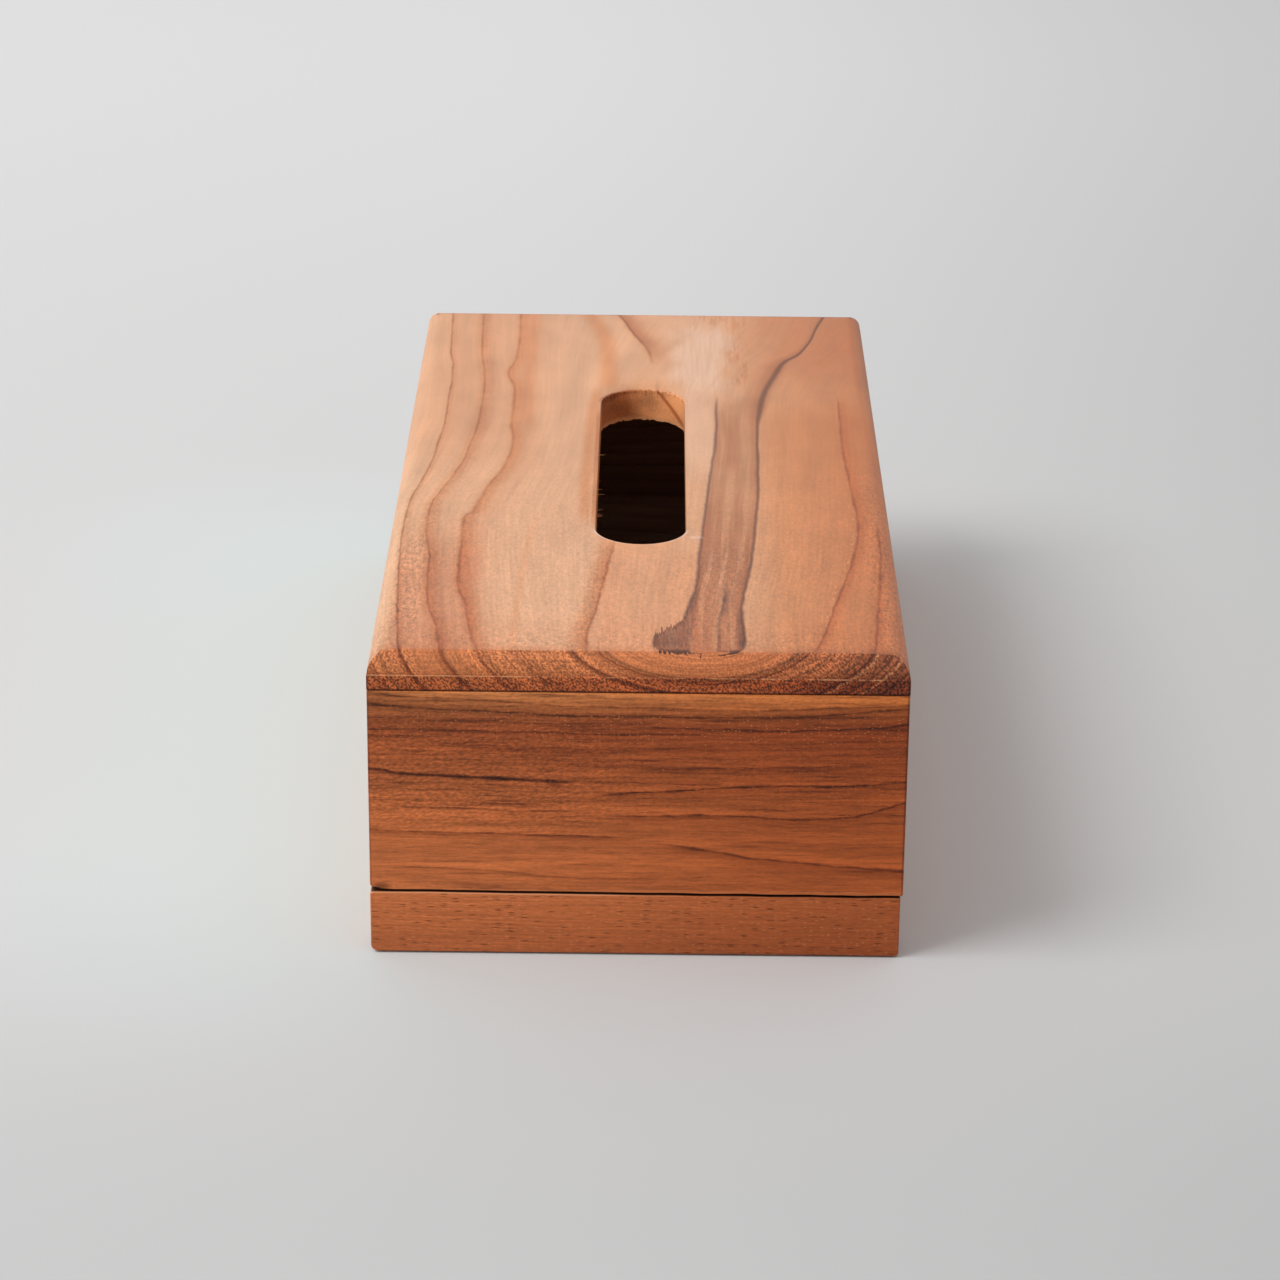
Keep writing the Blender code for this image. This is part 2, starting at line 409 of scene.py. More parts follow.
def makeTopWood():
    grain = topGrain
    wood = Finish(bpy.data.materials.new("topWood"))
    x, y, z = wood.millimetres()
    ny = wood.facing()[1]
    heartX, heartZ = grain["heart"]
    # Rings run round the heart, so a line on the top face carries on down the end grain.
    off = x - heartX
    deep = heartZ - z
    drop = heartZ - grain["faceHeight"]
    below = wood.larger(deep * deep - drop * drop - grain["heartSlack"], 0)
    reach = wood.maths("SQRT", off * off + below)
    across = heartX + wood.maths("SIGN", off) * reach
    across = across + wood.cloud(x * 0.08, y * 0.04, z * 0.08) * 1.0
    tremble = wood.cloud(x * 0.7, y * 0.22, z * 0.9, detail=2)
    front = wood.fade(y, 50, -90)
    shaky = across + tremble * (0.5 + front * 0.6)

    # tones between the lines, and streaks that bend with them
    rightward = wood.fade(across, -38, 26)
    bend = wood.follow(y, grain["bendLeft"]) * (1 - rightward)
    bend = bend + wood.follow(y, grain["bendRight"]) * rightward
    straight = across - bend
    fibre = wood.cloud(straight * 1.3, y * 0.035, z * 1.3, detail=2, roughness=0.6)
    broad = wood.cloud(straight * 0.16, y * 0.012, z * 0.1, detail=2)
    blotch = wood.cloud(x * 0.1, y * 0.05, z * 0.1, detail=2)
    coat = Coat(wood, grain, wood.ramp(across + tremble * 3 + broad * 8, -70, 70, grain["tones"]))
    coat.shade(1 + fibre * (0.16 + front * 0.24) + broad * 0.45 + blotch * 0.3)
    coat.stain(wood.fade(x, 27, 38) * wood.fade(y, 66, 30) * 0.8, "orangeTint")
    coat.stain(wood.fade(across, -20, -45) * wood.fade(y, -20, 30) * 0.5, "blushTint")
    coat.stain(wood.fade(y, 50, 100) * wood.fade(x, 24, 42) * (0.8 + broad * 2), "blushTint")
    coat.stain(wood.between(across, -61, -40, 2.5) * wood.fade(y, -30, -84), "roughTint")
    coat.stain(wood.between(across, -10, 16, 3) * wood.fade(y, -52, -74), "centreTint")
    coat.stain(wood.fade(y, -100, -130) * 0.5, "blushTint")

    # growth lines, with the stains beside them
    core = smear = blush = glow = 0
    for number, mark in enumerate(grain["lines"].values()):
        away = shaky - wood.follow(y, mark["path"])
        shown = wood.within(y, mark["path"], 12)
        beat = wood.fade(wood.cloud(y * 0.09, number * 7.3, 0, detail=3), -0.12, 0.1)
        strong = (0.55 + 0.45 * beat + front * 0.2) * mark["dark"] * shown
        core = wood.larger(wood.fade(abs(away), mark["width"], 0.02) * strong, core)
        strong = (0.38 + beat * 0.3 + front * 0.6) * shown
        for reachOut, strength in mark["smears"]:
            smear = wood.larger(wood.beside(away, reachOut * grain["spread"]) * strong * strength, smear)
        for reachOut, strength in mark["glows"]:
            glow = wood.larger(wood.beside(away, reachOut) * shown * strength, glow)
        blushReach, blushStrength = mark["blush"]
        blush = wood.larger(wood.beside(away, blushReach) * shown * blushStrength, blush)
    deepBand = 0
    for mark in grain["bands"].values():
        away = across - wood.follow(y, mark["path"])
        shown = wood.fade(abs(away), mark["width"], 0.2) * wood.within(y, mark["path"], 16)
        glow = wood.larger(shown * mark["strength"], glow)
        deepBand = wood.larger(shown * mark["deep"], deepBand)
    coat.stain(deepBand, "blushTint")
    coat.stain(blush, "blushTint")
    coat.stain(glow, "orangeTint")
    coat.stain(smear, "smearTint")

    # a dark wedge at the back, and the pale patch beside it
    wedge = wood.beside(across - wood.follow(y, grain["lines"]["slant"]["path"]), 7) * wood.fade(y, 88, 108)
    coat.stain(wedge * 0.75, "smearTint")
    pale = wood.between(x + blotch * 14, 9, 24, 4.5) * wood.between(y + fibre * 30, 62, 122, 16)
    besideSlot = wood.between(x, 12, 19.6, 1) * wood.between(y, -6, 70, 20)
    stripes = wood.fade(wood.cloud(x * 0.9, y * 0.04, 0, detail=3), -0.12, 0.12)
    coat.cover(pale * (0.5 + stripes * 0.25), "paleTone")
    coat.cover(besideSlot * 0.35, "paleTone")
    fringe = wood.fade(wood.cloud(x * 0.7, y * 0.06, 3, detail=3, roughness=0.65), -0.02, 0.12)
    rightFringe = fringe * wood.between(x, 24, 30, 2.4) * wood.between(y, 66, 120, 10)
    backFringe = fringe * wood.between(x, 15, 30, 4) * wood.fade(y, 112, 124) * 0.8
    coat.stain(wood.larger(rightFringe, backFringe) * 0.6, "smearTint")

    # A greyish streak with dark edges runs out in two frayed feet at the front.
    calm = across + tremble * (0.25 + front * 0.5)
    fray = wood.cloud(x * 1.9, y * 0.14, z, detail=2)
    left = calm - wood.follow(y + fray * 14 * wood.fade(y, -96, -114), grain["streakLeft"])
    right = calm - wood.follow(y, grain["streakRight"])
    inner = shaky - wood.follow(y, grain["streakInner"])
    ended = wood.fade(y + fray * 3.5 + tremble * 5, -133.2, -132.2)
    inside = wood.fade(left, -0.2, 0.4) * wood.fade(right, 0.2, -0.4) * ended
    depth = 0.5 * wood.fade(y + blotch * 20, 58, 34) + 0.5 * wood.fade(y, -10, -84)
    bars = wood.fade(wood.cloud(straight * 0.5, y * 0.014, 7, detail=2), -0.12, 0.12)
    coat.stain(inside * depth * (0.6 + bars * 0.8 + fibre * 1.6), "streakTint")
    middle = wood.fade(abs(calm - 24.4), 2.2, 0.3) * wood.between(y, -4, 32, 9)
    smudge = wood.fade(abs(x - 17), 4.5, 1) * wood.between(y, 48, 60, 5) * (0.5 + fibre * 2)
    coat.stain(wood.larger(middle, smudge) * 0.55, "streakTint")
    thick = wood.between(y, 40, 92, 12)
    halo = wood.fade(right, -2.4 - thick * 5, -0.2) * wood.fade(right, 0.5 + thick * 2.5, 0)
    halo = wood.larger(halo * (0.5 + 0.3 * thick), wood.beside(left, 3.2) * wood.fade(y, 50, 36) * 0.5)
    coat.stain(halo * ended, "streakTint")
    edges = wood.fade(abs(left), 0.75, 0.05) * wood.fade(y, 60, 48) * 0.8
    edges = wood.larger(edges, wood.fade(abs(right), 0.75 + 0.8 * thick, 0.05) * 0.85)
    edges = wood.larger(edges, wood.fade(abs(inner), 0.8, 0.05) * wood.fade(y, -84, -98) * 0.6) * ended
    innerStain = wood.beside(inner, 3.4) * wood.between(y, -108, -94, 5)
    footEdge = wood.follow(y, grain["footInner"])
    leftFoot = wood.fade(calm, footEdge + 0.5, footEdge - 0.5) * wood.fade(y, -70, -96)
    rightFoot = wood.fade(right, -2.6, -0.6) * wood.fade(y, -100, -112)
    foot = wood.larger(wood.larger(leftFoot, rightFoot), innerStain * 0.8) * inside
    coat.stain(foot * (0.76 + fray * 1.6), "footTint")
    rim = wood.fade(y + fray * 4, -129.4, -131.4) * inside * wood.larger(leftFoot, wood.fade(inner, -1, 0.6))
    coat.stain(rim * 0.85, "rimAndShadeTint")
    coat.stain(edges, "edgeTint")
    scuff = wood.between(x, 12.8, 15.8, 0.8) * wood.fade(abs(y + 55), 1.4, 0.2)
    coat.cover(scuff * 0.35, "scuffTone")

    # a lighter line in the left half and one beside the right line, with flecks
    light = wood.fade(abs(shaky - wood.follow(y, grain["lightLine"])), 1.6, 0.2)
    light = light * wood.within(y, grain["lightLine"], 14)
    fleck = wood.dashes(x * 1.5, y * 0.34, z * 1.5, 0.5)
    coat.stain(light * 0.5, "orangeTint")
    coat.cover(light * fleck * 0.45, "fleckAndHighlightTone")
    besideRight = wood.fade(abs(shaky + 1.2 - wood.follow(y, grain["lines"]["right"]["path"])), 1.0, 0.2)
    coat.cover(besideRight * wood.fade(y, -14, -40) * fleck * 0.6, "fleckAndHighlightTone")
    coat.stain(core, "lineAndShadeTint")

    # pores: grains on the rough zone, dashes elsewhere
    coarse = wood.between(across, -60.5, -54, 1.5) * wood.between(y, -122, -56, 14)
    coarse = wood.larger(coarse, smear * 0.8)
    coarse = wood.larger(coarse, wood.fade(y, -112, -128) * 0.5)
    coarse = wood.larger(coarse, inside * wood.fade(y, -50, -76) * 0.6)
    coarse = wood.larger(coarse, wood.fade(across, 55, 60) * wood.fade(y, 20, -50) * 0.8)
    grit = wood.cloud(x * 1.3, y * 0.7, z * 1.5, detail=2, roughness=0.7)
    dash = wood.dashes(x * 1.6, y * 0.26, z * 1.6, 0.5)
    coat.shade(1 + grit * (0.12 + front * 0.55 + coarse * 1.2))
    coat.stain(dash * (0.04 + front * 0.12 + coarse * 0.25), "poreTint")

    # the slot's rim: paler along the front arc, stained on the left, chipped at the back, with painted shade
    # on the back rim's left half
    def fromArc(middle):
        # how far along from the middle of a round end, and how far away from it
        along = y - middle
        return along, wood.maths("SQRT", x * x + along * along)

    frontArc, backArc = grain["slotArcs"]
    along, away = fromArc(frontArc)
    nearRim = wood.between(away, 11.6, 12.5, 0.2) * wood.fade(along, 0, -4)
    coat.cover(nearRim * 0.55, "scuffTone")
    leftRim = wood.between(x, -12.9, -11.4, 0.35) * wood.between(y, -44, 42, 9)
    coat.stain(leftRim, "orangeTint")
    coat.stain(leftRim * (0.7 + fray), "smearTint")
    along, away = fromArc(backArc)
    farRim = wood.between(away, 11.5, 12.7, 0.3) * wood.fade(along, 0, 4)
    chips = wood.fade(wood.cloud(x * 1.5, y * 1.2, 9, detail=2), 0.02, 0.14)
    # chips, and painted shade on the left half of the back rim
    rimChipsAndShade = chips * 0.7 + wood.fade(x, 4, -3) * 0.5
    coat.stain(farRim * rimChipsAndShade, "lineAndShadeTint")

    # end grain: tones and lines by ring, dark dots, a painted highlight along the routed step, and painted
    # shade lower down, in the joint and along the outer corners
    ring = across + tremble * 1.6
    routerLine = grain["routerHeight"]
    lower = wood.fade(z, routerLine + 0.2, routerLine - 0.1)
    ends = Coat(wood, grain, wood.ramp(x + tremble * 6, -68, 68, grain["endTones"]))
    bands = wood.cloud(reach * 0.28, 11, 0, detail=3, roughness=0.6)
    rightDark = wood.fade(x, 20, 50)
    fineBands = wood.cloud(reach * 1.1, 23, 0, detail=2) * (1.0 + rightDark * 1.6)
    ends.shade(1.02 + bands * 2.8 + fineBands)
    # painted shade: the end grain darkens toward its lower edge, where it turns from the lamp
    ends.stain(wood.fade(z, 75.5, 72.5), "smearTint")
    endLine = lightRing = 0
    for place, width, strength in grain["endLines"].values():
        endLine = wood.larger(wood.fade(abs(ring - place), width * 1.2, 0.1) * strength, endLine)
        endLine = wood.larger(wood.beside(ring - place, -3.4) * strength * 0.5, endLine)
    for place, width, strength in grain["lightRings"].values():
        lightRing = wood.larger(wood.fade(abs(ring - place), width, 0.1) * strength, lightRing)
    ends.cover(lightRing * 0.3, "fleckAndHighlightTone")
    dots = wood.fade(wood.cloud(x * 2.0 + z * 0.7, y * 1.2, z * 1.7, detail=2, roughness=0.6), -0.1, 0.1)
    smooth = wood.larger(wood.between(ring, -55, -42, 3), wood.between(ring, -12, 36, 4)) * (1 - lower)
    speckled = 0.75 + lower * 0.5 - smooth * 0.4 + rightDark * 0.25
    ends.shade(1 + (dots - 0.5) * speckled)
    scratch = wood.cloud(x * 0.03, 0, z * 3.0, detail=2, roughness=0.7) * (1 - lower)
    ends.shade(1 + scratch * 0.9)
    ends.stain(endLine, "ringTint")
    lowerDark = wood.fade(x, -40, 0) * 0.25 + rightDark * 0.4
    ends.stain(lower * lowerDark, "smearTint")
    broken = wood.larger(wood.fade(x, -40, -46), wood.fade(wood.cloud(x * 0.12, 5, 0, detail=3), -0.06, 0.06))
    # painted highlight along the routed step
    routerHighlight = wood.between(z, routerLine - 0.2, routerLine + 0.1, 0.1) * broken
    ends.cover(routerHighlight * (1 - 0.5 * wood.between(x, -26, 30, 3)) * 0.5, "fleckAndHighlightTone")
    # painted shade: a thin dark line in the joint under the end, and along its outer corners
    ends.stain(wood.fade(z, 70.6, 70.2) * 0.8, "rimAndShadeTint")
    ends.stain(wood.fade(abs(x), 64.3, 64.8) * 0.7, "rimAndShadeTint")

    # the slot's own wall, with painted shade on its left part and along the back rim's top
    slotWall = wood.fade(abs(y), 100, 90)
    slotBack = wood.fade(y, 40, 55)
    wallDepth = grain["faceHeight"] - z
    wallLine = wood.fade(abs(x - 4 - wallDepth * 0.94), 0.9 + wallDepth * 0.1, 0.2) * slotBack
    # painted shade on the far wall's left part, which faces away from the lamp
    wallLeftShade = wood.fade(x + blotch * 8, 1, -6) * slotBack
    wallTop = wood.fade(wallDepth + blotch * 3, 1.9, 0.4) * slotBack * rimChipsAndShade
    wall = Coat(wood, grain, grain["slotTone"])
    wall.shade(1.15 + dots * 0.2 + blotch * 2)
    wall.stain(wood.larger(wallLine * 0.9, wallLeftShade * 0.85), "lineAndShadeTint")
    wall.stain(wallTop, "lineAndShadeTint")
    wall.cover(wood.fade(wallDepth, 7.4, 8.4) * 0.7, "fleckAndHighlightTone")
    ends.join(slotWall, wall)
    feet = wood.larger(leftFoot, rightFoot) * inside  # they run on over the rounded edge
    endGrain = wood.fade(abs(ny) - feet * 0.5, 0.03, 0.22)
    sanded = wood.fade(y + fray * 8 + fleck, -127.6, -130.2) * 0.35 * (1 - rim)
    coat.join(wood.larger(endGrain, sanded), ends)

    relief = fibre * 0.3 + grit * (0.2 + coarse * 0.8) - dash * 0.4 + endGrain * dots * 0.5 - core * 0.3
    return coat.finished(grit * 0.12 + endGrain * 0.12, relief)


# Grain on the front board. A line's path holds (x, z) points on its face, left to right.
# Above each line the wood is lighter, below it darker: how far that reaches, and its strength.

def frontLine(width, dark, below, above, soft, *path):
    return {"path": path, "width": width, "dark": dark, "below": below, "above": above, "soft": soft}


frontGrain = {
    "lines": {
        "first": frontLine(
            0.5, 0.8, (2.0, 0.6), (2.2, 0.0), (2.0, 0.6),
            (-65, 66.6), (-52, 65.5), (-36, 65.0), (-21, 64.2), (-11, 63.8), (0, 63.6), (26, 63.9),
            (47, 64.8), (56, 65.8), (65, 66.4),
        ),
        "above": frontLine(
            0.4, 0.6, (1.2, 0.4), (2.5, 0.5), (0.8, 0.2),
            (-65, 69.2), (-50, 68.2), (-33, 67.5), (-19, 66.6), (4, 66.0), (21, 65.8), (44, 66.4), (64, 67.5),
        ),
        "third": frontLine(
            0.4, 0.5, (0.8, 0.3), (0.8, 0.2), (0.6, 0.2),
            (-65, 63.0), (-50, 62.6), (-30, 62.0), (-8, 61.9), (10, 62.3),
        ),
        "second": frontLine(
            0.45, 0.7, (1.3, 0.4), (1.2, 0.3), (0.7, 0.3),
            (-60, 60.2), (-34, 59.7), (-21, 59.5), (-11, 59.1), (7, 59.2), (22, 59.0),
        ),
        "secondRight": frontLine(
            0.45, 0.85, (1.6, 0.4), (1.4, 0.3), (0.8, 0.3),
            (-4, 60.9), (4, 60.9), (24, 60.5), (38, 60.5), (50, 61.0), (59, 61.6), (65, 62.5),
        ),
        "upper": frontLine(
            0.7, 0.35, (1.8, 0.5), (2.0, 0.4), (1.2, 0.4),
            (-46, 55.6), (-30, 55.0), (-12, 55.1), (8, 55.4), (26, 55.0),
        ),
        "black": frontLine(
            0.75, 1.0, (1.2, 0.4), (2.2, 0.3), (0.7, 0.7),
            (-65, 49.3), (-61, 48.9), (-57, 48.1), (-47, 47.6), (-33, 47.0), (-19, 46.6), (-12, 46.5),
        ),
        "blackTail": frontLine(
            0.34, 0.55, (0.8, 0.2), (2.4, 0.6), (0.6, 0.2),
            (-16, 46.7), (-2, 46.5), (15, 46.0), (24, 45.8),
        ),
        "fourth": frontLine(
            0.52, 0.95, (2.8, 0.5), (3.4, 0.7), (0.9, 0.5),
            (-13, 42.8), (-7, 43.3), (4, 44.2), (12, 44.5), (24, 45.5), (38, 46.0), (47, 45.9), (65, 47.4),
        ),
        "soft": frontLine(
            1.1, 0.35, (1.4, 0.3), (2.6, 0.4), (1.6, 0.3),
            (-26, 51.8), (-21, 51.5), (0, 50.6), (14, 49.9), (41, 50.1), (56, 51.6), (62, 51.9),
        ),
        "fifth": frontLine(
            0.48, 0.85, (3.0, 0.5), (3.2, 0.7), (0.9, 0.5),
            (-10, 38.0), (3, 37.5), (18, 38.1), (39, 37.2), (51, 37.8), (55, 38.7), (60, 40.4), (65, 42.0),
        ),
        "sixth": frontLine(
            0.4, 0.75, (2.4, 0.5), (2.6, 1.0), (0.7, 0.3),
            (-65, 33.4), (-50, 33.0), (-32, 32.7), (-24, 32.3), (-13, 32.1), (2, 31.4),
        ),
        "seventh": frontLine(
            0.6, 0.7, (3.4, 0.6), (4.2, 0.6), (1.0, 0.5),
            (2, 30.6), (16, 28.9), (29, 26.5), (43, 25.3), (54, 24.4), (65, 23.7),
        ),
        "eighth": frontLine(
            0.4, 0.4, (1.4, 0.3), (2.4, 0.3), (0.8, 0.3),
            (-62, 23.9), (-49, 23.1), (-37, 22.7), (-20, 21.2), (-2, 20.9), (12, 21.4),
        ),
        "ninth": frontLine(
            0.4, 0.5, (0.9, 0.2), (2.0, 0.3), (0.6, 0.3),
            (-62, 39.3), (-45, 39.2), (-24, 38.8), (-10, 39.2),
        ),
        "tenth": frontLine(
            0.4, 0.5, (0.8, 0.2), (2.6, 0.4), (0.6, 0.3),
            (-64, 41.2), (-48, 41.0), (-33, 40.6), (-18, 40.6),
        ),
    },
    "tones": [
        (16, tint(224, 126, 69)), (40, tint(196, 107, 57)), (57, tint(164, 82, 41)),
        (64, tint(146, 71, 36)), (70, tint(240, 152, 88)),
    ],
    "rightTint": (0.76, 0.61, 0.45),
    "lineAndShadeTint": (0.15, 0.11, 0.09),
    "smearTint": (0.56, 0.46, 0.40),
    "poreTint": (0.32, 0.26, 0.24),
    "fleckAndHighlightTone": tint(226, 142, 86),
    "seamShadeTint": (0.06, 0.05, 0.045),
    "roughness": 0.52,
    "specular": 0.25,
}


def makeFrontWood():
    grain = frontGrain
    wood = Finish(bpy.data.materials.new("frontWood"))
    x, y, z = wood.millimetres()
    nx, nz = wood.facing()[::2]
    tremble = wood.cloud(x * 0.2, y * 0.5, z * 1.0, detail=3, roughness=0.6)
    height = z + (y + 136) * 0.35 + wood.cloud(x * 0.025, y * 0.1, z * 0.07) * 1.0
    shaky = height + tremble * 1.1
    broad = wood.cloud(x * 0.012, y * 0.2, height * 0.3, detail=2)
    fibre = wood.cloud(x * 0.04, y * 1.2, shaky * 1.1, detail=3, roughness=0.7)
    fine = wood.cloud(x * 0.22, y * 1.6, z * 2.2, detail=2, roughness=0.6)
    upper = wood.fade(z, 30, 46)
    coat = Coat(wood, grain, wood.ramp(shaky + broad * 4, 16, 70, grain["tones"]))
    coat.stain(wood.fade(x, -60, 70), "rightTint")
    coat.stain(wood.fade(x, -20, -64) * wood.fade(z, 63, 66) * 0.55, "smearTint")
    coat.shade(1 + fibre * (1.0 + upper * 0.7) + broad * 0.9 + fine * 0.7)
    coat.stain(wood.fade(fibre, -0.05, -0.2) * (0.35 + upper * 0.35), "smearTint")
    core = smear = glow = 0
    for number, mark in enumerate(grain["lines"].values()):
        away = shaky - wood.follow(x, mark["path"])
        shown = wood.within(x, mark["path"], 10, 64)
        beat = wood.fade(wood.cloud(x * 0.12, number * 5.1, 0, detail=3, roughness=0.7), -0.12, 0.08)
        width = mark["width"] * (0.65 + 0.35 * beat)
        strong = (0.5 + 0.5 * beat) * mark["dark"] * shown
        core = wood.larger(wood.fade(abs(away), width, 0.02) * strong, core)
        softWidth, softShare = mark["soft"]
        smear = wood.larger(wood.fade(abs(away), softWidth, 0) * shown * softShare, smear)
        reachOut, strength = mark["below"]
        smear = wood.larger(wood.beside(away, -reachOut) * shown * strength, smear)
        reachOut, strength = mark["above"]
        glow = wood.larger(wood.beside(away, reachOut) * shown * strength, glow)
    spot = wood.fade(abs(x + 20), 3.0, 0.5) * wood.fade(abs(z - 45.7 + fine * 4), 0.9, 0.1)
    smear = wood.larger(smear, spot)
    coat.shade(1 + glow * 0.3)
    coat.stain(smear, "smearTint")
    coat.stain(core, "lineAndShadeTint")

    # pores: short dark dashes, light flecks, and a rippled patch at the upper left
    dash = wood.dashes(x * 0.5, y * 2.4, z * 1.8, 0.5)
    fleck = wood.dashes(x * 1.1 + 40, y * 2, z * 2.1, 0.4)
    ripple = wood.cloud(x * 0.7 + z * 0.6, y, z * 1.5 - x * 0.5, detail=2)
    rippled = wood.fade(x, 10, -20) * wood.between(z, 34, 64, 6)
    coat.shade(1 + ripple * (0.3 + upper * 0.4 + rippled * 1.1))
    coat.stain(dash * (0.16 + upper * 0.2), "poreTint")
    flecked = wood.between(z, 57, 65, 1.5) * 0.25 + upper * 0.16 + 0.06
    coat.cover(fleck * flecked, "fleckAndHighlightTone")

    # a painted highlight on the edge above the seam, painted shade in the seam, along the outer side edges
    # and in the chipped corner, and darker end grain on the board's ends
    # painted highlight: the eased edge just above the seam is lightened
    coat.cover(wood.fade(z + tremble * 2, 17.9, 17.5) * 0.3, "fleckAndHighlightTone")
    boardEnd = wood.fade(abs(nx), 0.3, 0.7)
    # painted shade: a dark line down the face beside each outer side edge
    edge = wood.fade(abs(x) + tremble * 0.4, 64.3, 64.8) * (1 - boardEnd)
    coat.stain(edge * 0.85, "lineAndShadeTint")
    coat.stain(boardEnd * 0.7, "smearTint")
    # painted shade: the board's underside in the seam is darkened nearly to black
    coat.stain(wood.fade(nz, -0.25, -0.55), "seamShadeTint")
    smudge = wood.fade(abs(x + 62.2), 3.2, 0.4) * wood.fade(abs(z - 18.2 + fine), 1.6, 0.2)
    coat.stain(smudge * 0.7, "lineAndShadeTint")
    # painted shade in the chipped corner at the seam's left end
    notchShade = wood.fade(x + fine * 3, -61.6, -64.2) * wood.fade(z + fine * 1.5, 18.1, 17.7)
    coat.stain(notchShade, "seamShadeTint")
    relief = fibre * 0.4 + fine * 0.4 - dash * 0.5 + ripple * rippled * 0.5 - core * 0.6
    return coat.finished(fine * 0.12, relief)


stripGrain = {
    "tones": [
        (0, tint(188, 102, 56)), (9, tint(208, 116, 64)), (16.5, tint(210, 118, 66)),
    ],
    "rightTint": (0.70, 0.60, 0.51),
    "poreTint": (0.40, 0.34, 0.32),
    "paleFleckAndHighlightTone": tint(244, 166, 116),
    "seamShadeTint": (0.10, 0.08, 0.07),
    "roughness": 0.52,
    "specular": 0.25,
}


def makeStripWood():
    grain = stripGrain
    wood = Finish(bpy.data.materials.new("stripWood"))
    x, y, z = wood.millimetres()
    nx, nz = wood.facing()[::2]
    slope = z + x * 0.012 + (y + 136) * 0.35 + wood.cloud(x * 0.02, y * 0.1, z * 0.15) * 1.6
    tremble = wood.cloud(x * 0.15, y * 0.5, z * 0.9, detail=3)
    coat = Coat(wood, grain, wood.ramp(slope + tremble * 1.2, 0, 16.5, grain["tones"]))
    coat.stain(wood.fade(x, -55, 66), "rightTint")
    fibre = wood.cloud(x * 0.035, y * 1.2, slope * 2.0, detail=3, roughness=0.65)
    coat.shade(1 + fibre * 0.9)
    dash = wood.dashes(x * 0.3, y * 2.4, z * 2.1, 0.42)
    lightDash = wood.dashes(x * 0.7 + 17, y * 2.2, z * 2.3, 0.3)
    speck = wood.cloud(x * 0.4, y * 1.5, z * 1.8, detail=2, roughness=0.7)
    coat.shade(1 + speck * 0.8)
    coat.cover(lightDash * 0.3, "paleFleckAndHighlightTone")
    coat.stain(dash, "poreTint")
    # painted shade down the strip's ends, stronger at the right end, where the side wall's end shows in shade
    # behind it
    edge = wood.fade(abs(x), 64.0, 64.4) * wood.fade(abs(nx), 0.8, 0.5)
    coat.stain(edge * (0.2 + 0.5 * wood.fade(x, -60, 60)), "poreTint")

    # the upper edge: a painted highlight along the left, and painted shade, near black, in the seam
    inSeam = wood.fade(y, -134.6, -135)
    # painted highlight on the eased upper edge
    paintedHighlight = wood.fade(nz, 0.05, 0.25) * wood.fade(x + tremble * 30, 20, -20) * inSeam
    coat.cover(paintedHighlight * 0.75, "paleFleckAndHighlightTone")
    # painted shade on the top face in the seam, deeper at the left end
    inSeam = wood.larger(inSeam, wood.fade(y, -131.5, -133) * wood.fade(x, -61.5, -63.5))
    coat.stain(wood.fade(nz, 0.58, 0.82) * inSeam, "seamShadeTint")
    relief = fibre * 0.4 + speck * 0.4 - dash * 0.8
    return coat.finished(speck * 0.1, relief)


# Boards that the photograph doesn't show: growth rings round a heart outside the board.

wallGrain = {  # inward is the axis and the way that the board's inner face looks
    "leftWallWood": {"along": "y", "heart": (112, 40), "shift": 3, "spacing": 4.4, "inward": (0, 1)},
    "rightWallWood": {"along": "y", "heart": (-46, -38), "shift": 41, "spacing": 4.0, "inward": (0, -1)},
    "backWood": {"along": "x", "heart": (118, -150), "shift": 77, "spacing": 4.2, "inward": (1, -1)},
    "baseWood": {"along": "y", "heart": (-84, 20), "shift": 112, "spacing": 5.5, "inward": (2, 1)},
}
wallTones = {
    "early": tint(204, 130, 86),
    "late": tint(174, 98, 58),
    "line": tint(92, 54, 38),
    "poreTint": (0.42, 0.36, 0.33),
    "end": tint(158, 92, 58),
    "inside": tint(158, 138, 120),  # greyer than the wood, as painted shade for the dim inside of the box
    "baseInside": tint(190, 142, 104),  # the base board's upper face, greyed a little for the same painted shade
    "greyedInsideShare": 0.8,
    "roughness": 0.58,
    "specular": 0.25,
}


